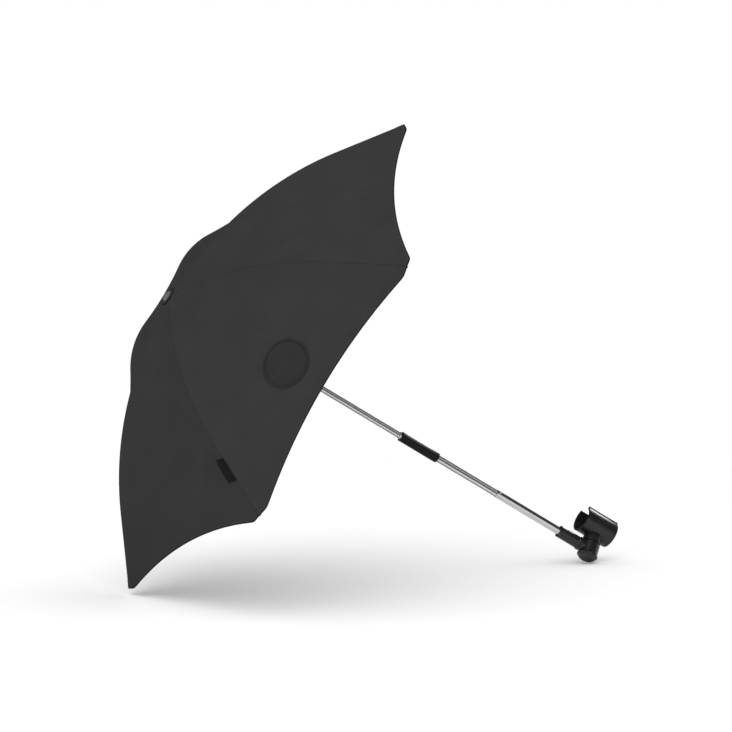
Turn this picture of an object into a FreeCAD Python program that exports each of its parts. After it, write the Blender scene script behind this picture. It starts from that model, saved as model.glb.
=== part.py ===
import FreeCAD, Part
import math
import os

V = FreeCAD.Vector
X = V(1, 0, 0)
Y = V(0, 1, 0)
Z = V(0, 0, 1)

# A pram parasol: a snap clip carries a shaft of three tubes, and a six-rib canopy folds at its top.
# Millimetres. The origin is the middle of the clip's bore, +Z runs along the shaft to the crown,
# and +Y is the way the clip's mouth opens. The shaft stands beside the clip, on its -Y side.

# Snap clip
clip_bore_radius = 15.0
clip_wall = 3.3
clip_length = 48.0
mouth_half_angle = 38.0
mouth_turn = 6.0
lip_radius = 1.0
lip_angle = 60.0

# Pivot between clip and shaft
neck_length = 8.1
boss_radius = 12.6
eye_radius = 13.0
eye_cheek = 0.2
eye_chamfer = 1.2
bolt_radius = 4.0
bolt_cover = 2.6
bolt_thread_radius = 3.0
bolt_thread_length = 4.0
washer_thickness = 0.8
cross_pin_radius = 1.6
cross_pin_turn = 50.0
cross_pin_depth = 2.3
pin_recess_radius = 3.5
pin_recess_depth = 2.0
knob_radius = 14.2
knob_floor = 1.2
knob_chamfer = 3.4
knob_flutes = 8
flute_radius = 4.0
flute_depth = 1.1
insert_wall = 2.0

# Shaft socket and the three tubes
socket_radius = 8.3
socket_top = 51.5
socket_collar_step = 1.0
socket_collar_length = 4.0
socket_floor_wall = 1.5
socket_pin_lift = 6.0
lower_tube_wall = 0.5
lower_tube_top = 158.0
middle_tube_radius = 4.65
middle_tube_wall = 0.5
middle_tube_overlap = 40.0
middle_tube_top = 298.0
foot_length = 6.0
foot_wall = 1.0
foot_spigot_length = 8.0
spigot_length = 12.0
upper_tube_radius = 4.0
upper_tube_wall = 0.6

# Snap button that locks the telescope, on a leaf spring bent into a U
button_azimuth = 15.0
button_radius = 1.8
button_drop = 3.2
button_proud = 0.9
button_rivet_radius = 0.8
leaf_thickness = 0.4
leaf_width = 4.0
leaf_length = 20.0

# Tilt joint under its sleeve
knuckle_length = 13.0
tilt_blade = 3.0
tilt_pin_radius = 1.25
collar_height = 3.0
sleeve_radius = 6.75
sleeve_length = 60.0
sleeve_above_tilt = 5.0
sleeve_chamfer = 0.8

# Canopy: flat where it is clamped, then a cone, an arc and a straight skirt along each rib
ribs = 6
canopy_radius = 349.0
canopy_top = 685.5
fabric = 0.9
crown_flat_margin = 0.15
crown_cone_radius = 70.0
crown_angle = 8.3
dome_radius = 430.0
skirt_angle = 37.5
hem_scallop = 17.2
hem_overreach = 7.0
patch_diameter = 63.0
patch_above_hem = 46.8
patch_thickness = 0.7
patch_rim_width = 2.4
patch_rim_height = 0.6
tag_width = 12.0
tag_past_seam = 0.8
tag_length = 34.0
tag_above_tip = 59.0
tag_thickness = 0.6

# Crown fittings
finial_radius = 7.35
finial_height = 3.5
finial_ring = 1.0
stud_radius = 2.0
stud_depth = 12.0
stud_in_cap = 1.6
plug_length = 16.0
crown_disc_radius = 6.4
crown_disc = 1.2
notch_wall = 2.3
notch_rim = 2.0
notch_height = 9.0
notch_wire_radius = 0.5

# Folding frame
rib_radius = 1.2
rib_eye_radius = 1.9
rib_eye_width = 2.0
rib_tip_radius = 1.9
rib_tip_length = 10.0
rib_tip_inset = 4.5
joint_distance = 165.0
joint_drop = 5.0
cheek_thickness = 0.8
cheek_radius = 2.0
saddle_length = 6.0
rivet_radius = 0.9
stretcher_thickness = 1.6
stretcher_depth = 3.0
runner_length = 30.0
runner_wall = 2.5
runner_above_joint = 4.0
runner_rim = 2.5
runner_flange_height = 8.0
runner_grip_radius = 9.0
runner_grip_height = 6.0
runner_catch_length = 18.0
runner_catch_proud = 2.2
runner_catch_thickness = 1.6

# Fits
seat_gap = 0.02
running_gap = 0.05
sliding_gap = 0.1
wire_gap = 0.15
clear_gap = 0.3
sleeve_gap = 0.4
canopy_gap = 0.5


def rod(radius, low, high):
    return Part.makeCylinder(radius, high - low, V(0, 0, low))


def tube(outer, inner, low, high):
    return rod(outer, low, high).cut(rod(inner, low, high))


def cross_rod(radius, low, high, centre=V(0, 0, 0), axis=X):
    return Part.makeCylinder(radius, high - low, centre + axis * low, axis)


def block(x, y, z):
    return Part.makeBox(x[1] - x[0], y[1] - y[0], z[1] - z[0], V(x[0], y[0], z[0]))


def polar(radius, degrees):
    angle = math.radians(degrees)
    return V(radius * math.cos(angle), radius * math.sin(angle), 0)


def turned(shape, degrees):
    copy = shape.copy()
    copy.rotate(V(0, 0, 0), Z, degrees)
    return copy


def joined(shapes):
    return shapes[0].multiFuse(shapes[1:]).removeSplitter()


# Places along the pivot, from the clip's bore out to the knob
clip_radius = clip_bore_radius + clip_wall
bolt_head = -clip_bore_radius - bolt_cover
boss_face = -clip_radius - neck_length
pin_level = -clip_radius - cross_pin_depth
eye_top = boss_face - washer_thickness - sliding_gap
eye_height = 2 * (socket_radius + eye_cheek)
eye_bottom = eye_top - eye_height
shaft_offset = -(eye_top + eye_bottom) / 2
knob_top = eye_bottom - sliding_gap
bolt_end = knob_top - bolt_thread_length
knob_bottom = bolt_end - clear_gap - knob_floor
half_clip = clip_length / 2
mouth_middle = 90 - mouth_turn
plain_jaw = mouth_middle + mouth_half_angle
lipped_jaw = 360 + mouth_middle - mouth_half_angle


def on_shaft(shape):
    return shape.translated(Y * -shaft_offset)


# Clip: a split ring whose lipped jaw lets it snap over a pram's tube, on a boss for the pivot
def ring_sector(centre, inner, outer, start, end):
    angles = (start, (start + end) / 2, end)
    outside = [centre + polar(outer, angle) for angle in angles]
    inside = [centre + polar(inner, angle) for angle in angles]
    edges = [
        Part.Arc(*outside).toShape(),
        Part.makeLine(outside[2], inside[2]),
        Part.Arc(*reversed(inside)).toShape(),
        Part.makeLine(inside[0], outside[0]),
    ]
    return Part.Face(Part.Wire(edges)).extrude(Z * clip_length).translated(Z * -half_clip)


def jaw_end(centre):
    return rod(clip_wall / 2, -half_clip, half_clip).translated(centre)


def across_pivot(radius, low, high):
    bar = cross_rod(radius, low, high, Y * pin_level, Z)
    bar.rotate(V(0, 0, 0), Y, cross_pin_turn)
    return bar


def cross_pin():
    half = boss_radius - pin_recess_depth
    return across_pivot(cross_pin_radius, -half, half)


def clip():
    lip_centre = polar(clip_radius + lip_radius, lipped_jaw)
    lip_start = lipped_jaw + 180
    lip_middle = lip_radius + clip_wall / 2
    shell = joined([
        ring_sector(V(0, 0, 0), clip_bore_radius, clip_radius, plain_jaw, lipped_jaw),
        ring_sector(lip_centre, lip_radius, lip_radius + clip_wall, lip_start - lip_angle, lip_start),
        jaw_end(polar(clip_bore_radius + clip_wall / 2, plain_jaw)),
        jaw_end(lip_centre + polar(lip_middle, lip_start - lip_angle)),
        cross_rod(boss_radius, boss_face, -clip_bore_radius - clip_wall / 2, axis=Y),
    ])
    pin_end = boss_radius - pin_recess_depth
    recess_end = boss_radius + pin_recess_depth
    cuts = [
        rod(clip_bore_radius, -clip_length, clip_length),
        cross_rod(bolt_radius + seat_gap, boss_face, bolt_head, axis=Y),
        across_pivot(cross_pin_radius + seat_gap, -pin_end, pin_end),
        across_pivot(pin_recess_radius, pin_end, recess_end),
        across_pivot(pin_recess_radius, -recess_end, -pin_end),
    ]
    for cut in cuts:
        shell = shell.cut(cut)
    return shell


def pivot_bolt():
    shank = cross_rod(bolt_radius, eye_bottom, bolt_head, axis=Y)
    thread = cross_rod(bolt_thread_radius, bolt_end, eye_bottom, axis=Y)
    return joined([shank, thread]).cut(across_pivot(cross_pin_radius + seat_gap, -boss_radius, boss_radius))


def friction_washer():
    low = boss_face - washer_thickness
    outer = cross_rod(boss_radius - eye_chamfer, low, boss_face, axis=Y)
    return outer.cut(cross_rod(bolt_radius + seat_gap, low, boss_face, axis=Y))


# Socket: an eye that turns on the bolt, with the tube that takes the shaft
lower_tube_radius = middle_tube_radius + sliding_gap + lower_tube_wall
socket_floor = eye_radius + socket_floor_wall
socket_pin_height = socket_floor + socket_pin_lift


def shaft_socket():
    eye = cross_rod(eye_radius, eye_bottom, eye_top, axis=Y)
    rims = [edge for edge in eye.Edges if isinstance(edge.Curve, Part.Circle)]
    eye = eye.makeChamfer(eye_chamfer, rims)
    collar_low = knob_radius + clear_gap
    collar_radius = socket_radius + socket_collar_step
    collar_high = collar_low + socket_collar_length
    collar = on_shaft(rod(collar_radius, collar_low, collar_high))
    collar = collar.common(block((-collar_radius, collar_radius), (eye_bottom, eye_top), (collar_low, collar_high)))
    stem = on_shaft(rod(socket_radius, 0, socket_top))
    seat = on_shaft(rod(lower_tube_radius + seat_gap, socket_floor, socket_top))
    pivot = cross_rod(bolt_radius + running_gap, eye_bottom, eye_top, axis=Y)
    return joined([eye, stem, collar]).cut(seat).cut(pivot).cut(on_shaft(across_socket(seat_gap)))


def across_socket(gap):
    return cross_rod(cross_pin_radius + gap, -socket_radius, socket_radius, Z * socket_pin_height)


def socket_pin():
    return on_shaft(across_socket(0))


# Knob: fluted, with a threaded insert that runs on the bolt's end
insert_radius = bolt_thread_radius + insert_wall


def clamp_knob():
    body = cross_rod(knob_radius, knob_bottom, knob_top, axis=Y)
    low_rim = [edge for edge in body.Edges if edge.BoundBox.YMax < knob_bottom + clear_gap]
    body = body.makeChamfer(knob_chamfer, low_rim)
    for flute in range(knob_flutes):
        angle = 2 * math.pi * flute / knob_flutes
        reach = knob_radius + flute_radius - flute_depth
        centre = V(reach * math.cos(angle), 0, reach * math.sin(angle))
        body = body.cut(cross_rod(flute_radius, knob_bottom, knob_top, centre, Y))
    pocket = cross_rod(insert_radius + seat_gap, bolt_end, knob_top, axis=Y)
    bolt_room = cross_rod(bolt_thread_radius + clear_gap, bolt_end - clear_gap, knob_top, axis=Y)
    return body.cut(pocket).cut(bolt_room)


def knob_insert():
    outer = cross_rod(insert_radius, bolt_end, knob_top, axis=Y)
    return outer.cut(cross_rod(bolt_thread_radius + running_gap, bolt_end, knob_top, axis=Y))


# Tubes and the telescope
middle_tube_bore = middle_tube_radius - middle_tube_wall
middle_tube_low = lower_tube_top - middle_tube_overlap
button_height = lower_tube_top - button_drop
leaf_reach = math.sqrt(middle_tube_bore ** 2 - (leaf_width / 2) ** 2) - sliding_gap


def at_button(radius, inside, outside):
    return turned(cross_rod(radius, inside, outside, Z * button_height), button_azimuth)


def button_hole():
    return at_button(button_radius + clear_gap, 0, 2 * lower_tube_radius)


def lower_tube():
    bore = middle_tube_radius + sliding_gap
    whole = tube(lower_tube_radius, bore, socket_floor, lower_tube_top)
    return whole.cut(across_socket(seat_gap)).cut(button_hole())


def middle_tube():
    return tube(middle_tube_radius, middle_tube_bore, middle_tube_low, middle_tube_top).cut(button_hole())


def middle_tube_foot():
    bore = middle_tube_bore - foot_wall
    foot = tube(middle_tube_radius, bore, middle_tube_low - foot_length, middle_tube_low)
    spigot = tube(middle_tube_bore - seat_gap, bore, middle_tube_low, middle_tube_low + foot_spigot_length)
    return joined([foot, spigot])


def snap_spring():
    half = leaf_width / 2
    inside = leaf_reach - leaf_thickness
    low = button_height - leaf_length / 2
    high = button_height + leaf_length / 2
    legs = block((-leaf_reach, leaf_reach), (-half, half), (low, high))
    legs = legs.cut(block((-inside, inside), (-half, half), (low, high)))
    bend = cross_rod(leaf_reach, -half, half, Z * low, Y).cut(cross_rod(inside, -half, half, Z * low, Y))
    bend = bend.common(block((-leaf_reach, leaf_reach), (-half, half), (low - leaf_reach, low)))
    spring = turned(joined([legs, bend]), button_azimuth)
    return spring.cut(at_button(button_rivet_radius + seat_gap, 0, leaf_reach))


def snap_button():
    end = lower_tube_radius + button_proud
    rivet = at_button(button_rivet_radius, leaf_reach - leaf_thickness, leaf_reach)
    shank = cross_rod(button_radius, leaf_reach, end, Z * button_height)
    end_rim = [edge for edge in shank.Edges if edge.BoundBox.XMin > end - clear_gap]
    shank = shank.makeFillet(button_proud - sliding_gap, end_rim)
    return joined([rivet, turned(shank, button_azimuth)])


# Tilt joint: a forked plug in the middle tube, a tongue in the upper tube, and a sliding sleeve
tilt_height = middle_tube_top + knuckle_length
tilt_axis = Z * tilt_height
tilt_blade_radius = middle_tube_radius - clear_gap
collar_lift = middle_tube_radius + clear_gap
upper_tube_low = tilt_height + collar_lift + collar_height
upper_tube_bore = upper_tube_radius - upper_tube_wall


def tilt_fork():
    radius = middle_tube_radius
    base = rod(radius, middle_tube_top, tilt_height)
    ears = rod(radius, tilt_height, tilt_height + radius)
    ears = ears.common(cross_rod(radius, -radius, radius, tilt_axis))
    spigot = rod(middle_tube_bore - seat_gap, middle_tube_top - spigot_length, middle_tube_top)
    half = tilt_blade / 2 + sliding_gap
    slot = block((-half, half), (-radius, radius), (tilt_height - radius, tilt_height + radius))
    pin = cross_rod(tilt_pin_radius + seat_gap, -radius, radius, tilt_axis)
    return joined([base, ears, spigot]).cut(slot).cut(pin)


def tilt_tongue():
    half = tilt_blade / 2
    blade = cross_rod(tilt_blade_radius, -half, half, tilt_axis)
    collar_low = tilt_height + collar_lift
    web = block((-half, half), (-tilt_blade_radius, tilt_blade_radius), (tilt_height, collar_low))
    collar = rod(middle_tube_radius, collar_low, upper_tube_low)
    spigot = rod(upper_tube_bore - seat_gap, upper_tube_low, upper_tube_low + spigot_length)
    pin = cross_rod(tilt_pin_radius + running_gap, -half, half, tilt_axis)
    return joined([blade, web, collar, spigot]).cut(pin)


def tilt_pin():
    half = math.sqrt(middle_tube_radius ** 2 - tilt_pin_radius ** 2)
    return cross_rod(tilt_pin_radius, -half, half, tilt_axis)


def tilt_sleeve():
    high = tilt_height + sleeve_above_tilt
    low = high - sleeve_length
    sleeve = rod(sleeve_radius, low, high)
    low_rim = [edge for edge in sleeve.Edges if edge.BoundBox.ZMax < low + clear_gap]
    return sleeve.makeChamfer(sleeve_chamfer, low_rim).cut(rod(middle_tube_radius + sleeve_gap, low, high))


# Canopy: each gore is the rib's curve carried straight across to the next rib
half_gore = math.pi / ribs
crown_flat_radius = finial_radius + crown_flat_margin
crown = math.radians(crown_angle)
skirt = math.radians(skirt_angle)
cone_height = canopy_top - (crown_cone_radius - crown_flat_radius) * math.tan(crown)
dome_centre_radius = crown_cone_radius - dome_radius * math.sin(crown)
dome_centre_height = cone_height - dome_radius * math.cos(crown)
corner_reach = canopy_radius + hem_overreach
hem_middle = corner_reach * math.cos(half_gore) - hem_scallop


def dome_point(angle, depth, radius_share=1.0):
    radius = dome_radius - depth
    across = dome_centre_radius + radius * math.sin(angle)
    return V(radius_share * across, 0, dome_centre_height + radius * math.cos(angle))


def skirt_point(reach):
    start = dome_point(skirt, 0)
    return V(reach, 0, start.z - (reach - start.x) * math.tan(skirt))


def canopy_line(depth):
    """The gore's middle line, this deep under the outer face, with its two ends."""
    share = math.cos(half_gore)
    flat_end = share * (crown_flat_radius - depth * math.tan(crown / 2))
    start = V(0, 0, canopy_top - depth)
    clamp = V(flat_end, 0, canopy_top - depth)
    centre = V(share * dome_centre_radius, 0, dome_centre_height)
    dome = Part.Ellipse(
        centre + Z * (dome_radius - depth), centre + X * (share * (dome_radius - depth)), centre
    )
    low = dome_point(skirt, depth, share)
    high = dome_point(crown, depth, share)
    arc = Part.ArcOfEllipse(dome, dome.parameter(high), dome.parameter(low))
    run = corner_reach + hem_scallop - low.x
    end = low + V(run, 0, -run * math.tan(skirt) / share)
    edges = [Part.makeLine(start, clamp), Part.makeLine(clamp, high), arc.toShape(), Part.makeLine(low, end)]
    return edges, start, end


def gore_layer(outer_depth, inner_depth):
    """A sheet over one gore that faces +X, between two depths under the canopy's outer face."""
    outer, outer_start, outer_end = canopy_line(outer_depth)
    inner, inner_start, inner_end = canopy_line(inner_depth)
    ends = [Part.makeLine(outer_end, inner_end), Part.makeLine(inner_start, outer_start)]
    section = Part.Face(Part.Wire(Part.sortEdges(outer + inner + ends)[0]))
    sheet = section.extrude(Y * (2 * canopy_radius)).translated(Y * -canopy_radius)
    reach = 2 * canopy_radius
    side = reach * math.tan(half_gore)
    corners = [V(0, 0, 0), V(reach, -side, 0), V(reach, side, 0), V(0, 0, 0)]
    wedge = Part.Face(Part.makePolygon(corners)).extrude(Z * (2 * canopy_top))
    half_hem = corner_reach * math.sin(half_gore)
    hem_radius = (half_hem ** 2 + hem_scallop ** 2) / (2 * hem_scallop)
    outside = rod(hem_radius, 0, 2 * canopy_top).translated(X * (hem_middle + hem_radius))
    corner = skirt_point(canopy_radius)
    blunt = cross_rod(half_hem, 0, half_hem, corner, V(math.cos(skirt), 0, -math.sin(skirt)))
    sheet = sheet.common(wedge).cut(outside)
    for side in (-1, 1):
        sheet = sheet.cut(turned(blunt, math.degrees(side * half_gore)))
    return sheet


def gore_azimuth(gore):
    return (gore + 0.5) * 360 / ribs


def canopy_gore():
    return gore_layer(0, fabric).cut(rod(stud_radius + seat_gap, 0, 2 * canopy_top))


def canopy_patch():
    patch_distance = hem_middle - patch_above_hem
    along = patch_distance / math.cos(half_gore)
    slope = math.atan(math.tan(skirt) / math.cos(half_gore))
    centre = V(patch_distance, 0, skirt_point(along).z)
    normal = V(math.sin(slope), 0, math.cos(slope))
    reach = patch_diameter / 2

    def disc(radius, thickness):
        layer = gore_layer(-seat_gap - thickness, -seat_gap)
        return layer.common(cross_rod(radius, -reach, reach, centre, normal))

    rim = disc(reach, patch_thickness + patch_rim_height)
    rim = rim.cut(cross_rod(reach - patch_rim_width, -2 * reach, 2 * reach, centre, normal))
    return turned(joined([disc(reach, patch_thickness), rim]), gore_azimuth(ribs - 1))


def side_tag():
    layer = gore_layer(-seat_gap - tag_thickness, -seat_gap)
    both = joined([turned(layer, 180 / ribs), turned(layer, -180 / ribs)])
    run = tag_length * math.cos(skirt) / 2
    middle = canopy_radius - tag_above_tip
    sides = (tag_past_seam - tag_width, tag_past_seam)
    strip = block((middle - run, middle + run), sides, (0, 2 * canopy_top))
    return turned(both.common(strip), -360 / ribs)


# Crown: finial, stud and plug above the canopy, disc and slotted notch under it
upper_tube_top = canopy_top - fabric - crown_disc
notch_low = upper_tube_top - notch_height
rib_slot_radius = upper_tube_radius + notch_wall
rib_circle_radius = rib_slot_radius + clear_gap + rib_eye_radius
notch_radius = rib_circle_radius + notch_rim
rib_pivot_height = upper_tube_top - notch_height / 2


def finial_ring_piece():
    return tube(finial_radius, stud_radius + seat_gap, canopy_top, canopy_top + finial_ring)


def finial_cap():
    low = canopy_top + finial_ring
    radius = (finial_radius ** 2 + finial_height ** 2) / (2 * finial_height)
    dome = Part.makeSphere(radius, V(0, 0, low + finial_height - radius))
    dome = dome.common(rod(2 * finial_radius, low, low + 2 * finial_height))
    return dome.cut(rod(stud_radius + seat_gap, low, low + stud_in_cap))


def finial_stud():
    return rod(stud_radius, upper_tube_top - stud_depth, canopy_top + finial_ring + stud_in_cap)


def tube_plug():
    outer = rod(upper_tube_bore - seat_gap, upper_tube_top - plug_length, upper_tube_top)
    return outer.cut(rod(stud_radius + seat_gap, upper_tube_top - stud_depth, upper_tube_top))


def crown_disc_piece():
    return tube(crown_disc_radius, stud_radius + seat_gap, upper_tube_top, canopy_top - fabric)


def wire_ring(radius):
    return Part.makeTorus(rib_circle_radius, radius, V(0, 0, rib_pivot_height))


def slots(half_width, inner, outer, low, high):
    slot = block((inner, outer), (-half_width, half_width), (low, high))
    return [turned(slot, number * 360 / ribs) for number in range(ribs)]


def top_notch():
    body = tube(notch_radius, upper_tube_radius + seat_gap, notch_low, upper_tube_top)
    body = body.cut(wire_ring(notch_wire_radius + seat_gap))
    for slot in slots(rib_radius + clear_gap, rib_slot_radius, 2 * notch_radius, notch_low, upper_tube_top):
        body = body.cut(slot)
    return body


# Folding frame: ribs under the seams, stretchers to the runner. A rib's hinge is at the notch's wire.
rib_depth = fabric + canopy_gap + rib_tip_radius
rib_pivot = V(rib_circle_radius, 0, rib_pivot_height)
dome_centre = V(dome_centre_radius, 0, dome_centre_height)


def rib_line():
    """The rib's middle line: straight from the hinge, round the dome, straight down the skirt."""
    radius = dome_radius - rib_depth
    gap = rib_pivot - dome_centre
    lean = math.atan2(gap.x, gap.z) + math.acos(radius / gap.Length)
    leave = dome_point(lean, rib_depth)
    middle = dome_point((lean + skirt) / 2, rib_depth)
    bend_end = dome_point(skirt, rib_depth)
    run = (canopy_radius - rib_tip_inset - bend_end.x) / math.cos(skirt)
    tip = bend_end + V(math.cos(skirt), 0, -math.sin(skirt)) * run
    return leave, middle, bend_end, tip


leave_point, arc_point, bend_point, tip_point = rib_line()
skirt_way = V(math.cos(skirt), 0, -math.sin(skirt))
joint_angle = math.asin((joint_distance - dome_centre_radius) / (dome_radius - rib_depth))
joint_on_rib = dome_point(joint_angle, rib_depth)
joint_down = V(-math.sin(joint_angle), 0, -math.cos(joint_angle))
joint_along = V(math.cos(joint_angle), 0, -math.sin(joint_angle))
joint_point = joint_on_rib + joint_down * joint_drop
runner_joint = V(rib_circle_radius, 0, 2 * joint_point.z - rib_pivot_height)


def rib():
    first_way = (leave_point - rib_pivot).normalize()
    start = rib_pivot + first_way * (rib_eye_radius - rib_radius + wire_gap)
    path = Part.Wire([
        Part.makeLine(start, leave_point),
        Part.Arc(leave_point, arc_point, bend_point).toShape(),
        Part.makeLine(bend_point, tip_point - skirt_way * seat_gap),
    ])
    section = Part.Wire([Part.makeCircle(rib_radius, start, first_way)])
    wire = path.makePipeShell([section], True, False)
    eye = cross_rod(rib_eye_radius, -rib_eye_width / 2, rib_eye_width / 2, rib_pivot, Y)
    half_saddle = saddle_length / 2
    saddle = cross_rod(cheek_radius - sliding_gap, -half_saddle, half_saddle, joint_on_rib, joint_along)
    inside = stretcher_thickness / 2 + sliding_gap
    shapes = [wire, eye, saddle]
    for side in (-inside - cheek_thickness, inside):
        face = Part.Face(Part.makePolygon([
            joint_on_rib - joint_along * cheek_radius,
            joint_on_rib + joint_along * cheek_radius,
            joint_point + joint_along * cheek_radius,
            joint_point - joint_along * cheek_radius,
            joint_on_rib - joint_along * cheek_radius,
        ]))
        shapes.append(face.translated(Y * side).extrude(Y * cheek_thickness))
        shapes.append(cross_rod(cheek_radius, side, side + cheek_thickness, joint_point, Y))
    whole = joined(shapes)
    whole = whole.cut(cross_rod(notch_wire_radius + wire_gap, -rib_eye_radius, rib_eye_radius, rib_pivot, Y))
    reach = inside + cheek_thickness
    return whole.cut(cross_rod(rivet_radius + seat_gap, -reach, reach, joint_point, Y))


def joint_rivet():
    reach = stretcher_thickness / 2 + sliding_gap + cheek_thickness
    return cross_rod(rivet_radius, -reach, reach, joint_point, Y)


def rib_tip():
    start = tip_point - skirt_way * rib_tip_length
    body = cross_rod(rib_tip_radius, 0, rib_tip_length, start, skirt_way)
    bead = joined([body, Part.makeSphere(rib_tip_radius, tip_point)])
    return bead.cut(cross_rod(rib_radius + seat_gap, 0, rib_tip_length, start, skirt_way))


def stretcher():
    half = stretcher_thickness / 2
    run = joint_point - runner_joint
    way = run.normalize()
    up = way.cross(Y) * (stretcher_depth / 2)
    face = Part.Face(Part.makePolygon([
        runner_joint + up, joint_point + up, joint_point - up, runner_joint - up, runner_joint + up
    ]))
    bar = face.translated(Y * -half).extrude(Y * stretcher_thickness)
    ends = [cross_rod(stretcher_depth / 2, -half, half, point, Y) for point in (runner_joint, joint_point)]
    return joined([bar] + ends).cut(cross_rod(rivet_radius + running_gap, -half, half, joint_point, Y))


# Runner: slides on the upper tube, with slots for the stretchers' ends and a grip
runner_top = runner_joint.z + runner_above_joint
runner_low = runner_top - runner_length
runner_flange_radius = rib_circle_radius + runner_rim


def runner():
    bore = upper_tube_radius + sliding_gap
    flange_low = runner_top - runner_flange_height
    body = joined([
        rod(upper_tube_radius + runner_wall, runner_low, runner_top),
        rod(runner_flange_radius, flange_low, runner_top),
        rod(runner_grip_radius, runner_low, runner_low + runner_grip_height),
    ])
    body = body.cut(rod(bore, runner_low, runner_top))
    half = stretcher_thickness / 2 + clear_gap
    inner = rib_circle_radius - stretcher_depth / 2 - clear_gap
    for slot in slots(half, inner, 2 * runner_flange_radius, runner_low, runner_top):
        body = body.cut(slot)
    return body


catch_top = runner_low - clear_gap
catch_low = catch_top - runner_catch_length


def upper_tube():
    half = runner_catch_thickness / 2 + clear_gap
    slot = block((0, 2 * upper_tube_radius), (-half, half), (catch_low - clear_gap, catch_top + clear_gap))
    return tube(upper_tube_radius, upper_tube_bore, upper_tube_low, upper_tube_top).cut(slot)


def runner_catch():
    half = runner_catch_thickness / 2
    inner = upper_tube_bore / 2
    face = Part.Face(Part.makePolygon([
        V(inner, -half, catch_low),
        V(upper_tube_radius, -half, catch_low),
        V(upper_tube_radius + runner_catch_proud, -half, catch_top),
        V(inner, -half, catch_top),
        V(inner, -half, catch_low),
    ]))
    return face.extrude(Y * runner_catch_thickness)


os.makedirs("parts", exist_ok=True)


def save(name, shape):
    shape.exportStep("parts/" + name + ".step")


# Pieces about the clip's own axis
save("clip", clip())
save("pivot_bolt", pivot_bolt())
save("cross_pin", cross_pin())
save("friction_washer", friction_washer())
save("shaft_socket", shaft_socket())
save("socket_pin", socket_pin())
save("clamp_knob", clamp_knob())
save("knob_insert", knob_insert())

# Pieces about the shaft's axis
shaft_pieces = [
    lower_tube, middle_tube, middle_tube_foot, snap_spring, snap_button,
    tilt_fork, tilt_tongue, tilt_pin, tilt_sleeve,
    upper_tube, runner, runner_catch, top_notch,
    canopy_patch, side_tag, finial_cap, finial_stud, tube_plug,
]
for piece in shaft_pieces:
    save(piece.__name__, on_shaft(piece()))
save("finial_ring", on_shaft(finial_ring_piece()))
save("crown_disc", on_shaft(crown_disc_piece()))
save("notch_wire", on_shaft(wire_ring(notch_wire_radius)))

# Six gores, the first one between the first two ribs
gore = canopy_gore()
for number in range(ribs):
    save("canopy_gore_" + str(number + 1), on_shaft(turned(gore, gore_azimuth(number))))

# One of each per rib, counted round from +X
for rib_piece in (rib, joint_rivet, rib_tip, stretcher):
    first_one = rib_piece()
    for number in range(ribs):
        copy = on_shaft(turned(first_one, number * 360 / ribs))
        save(rib_piece.__name__ + "_" + str(number + 1), copy)
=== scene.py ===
import math

import bpy
import numpy as np
from mathutils import Matrix, Vector


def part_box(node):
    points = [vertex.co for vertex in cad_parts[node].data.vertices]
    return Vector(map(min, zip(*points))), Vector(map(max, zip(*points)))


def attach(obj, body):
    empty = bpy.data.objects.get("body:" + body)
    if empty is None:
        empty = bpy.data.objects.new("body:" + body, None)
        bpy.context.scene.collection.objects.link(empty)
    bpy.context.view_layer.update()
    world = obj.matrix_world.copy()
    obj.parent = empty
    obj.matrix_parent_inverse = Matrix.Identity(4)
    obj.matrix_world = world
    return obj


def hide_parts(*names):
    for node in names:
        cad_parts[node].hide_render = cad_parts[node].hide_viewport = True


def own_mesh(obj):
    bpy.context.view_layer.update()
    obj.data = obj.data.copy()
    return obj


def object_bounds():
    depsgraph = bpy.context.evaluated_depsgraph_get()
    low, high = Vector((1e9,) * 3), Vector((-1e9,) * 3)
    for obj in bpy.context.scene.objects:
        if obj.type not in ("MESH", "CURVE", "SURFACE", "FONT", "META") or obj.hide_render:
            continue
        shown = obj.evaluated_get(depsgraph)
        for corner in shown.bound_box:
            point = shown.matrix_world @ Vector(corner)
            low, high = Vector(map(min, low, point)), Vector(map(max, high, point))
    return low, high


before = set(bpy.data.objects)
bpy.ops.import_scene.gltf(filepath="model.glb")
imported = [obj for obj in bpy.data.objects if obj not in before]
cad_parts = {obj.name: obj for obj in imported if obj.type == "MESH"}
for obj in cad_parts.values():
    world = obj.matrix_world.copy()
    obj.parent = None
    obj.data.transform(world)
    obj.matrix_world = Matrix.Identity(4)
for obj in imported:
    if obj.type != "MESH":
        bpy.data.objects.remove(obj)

cad_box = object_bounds()


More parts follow.
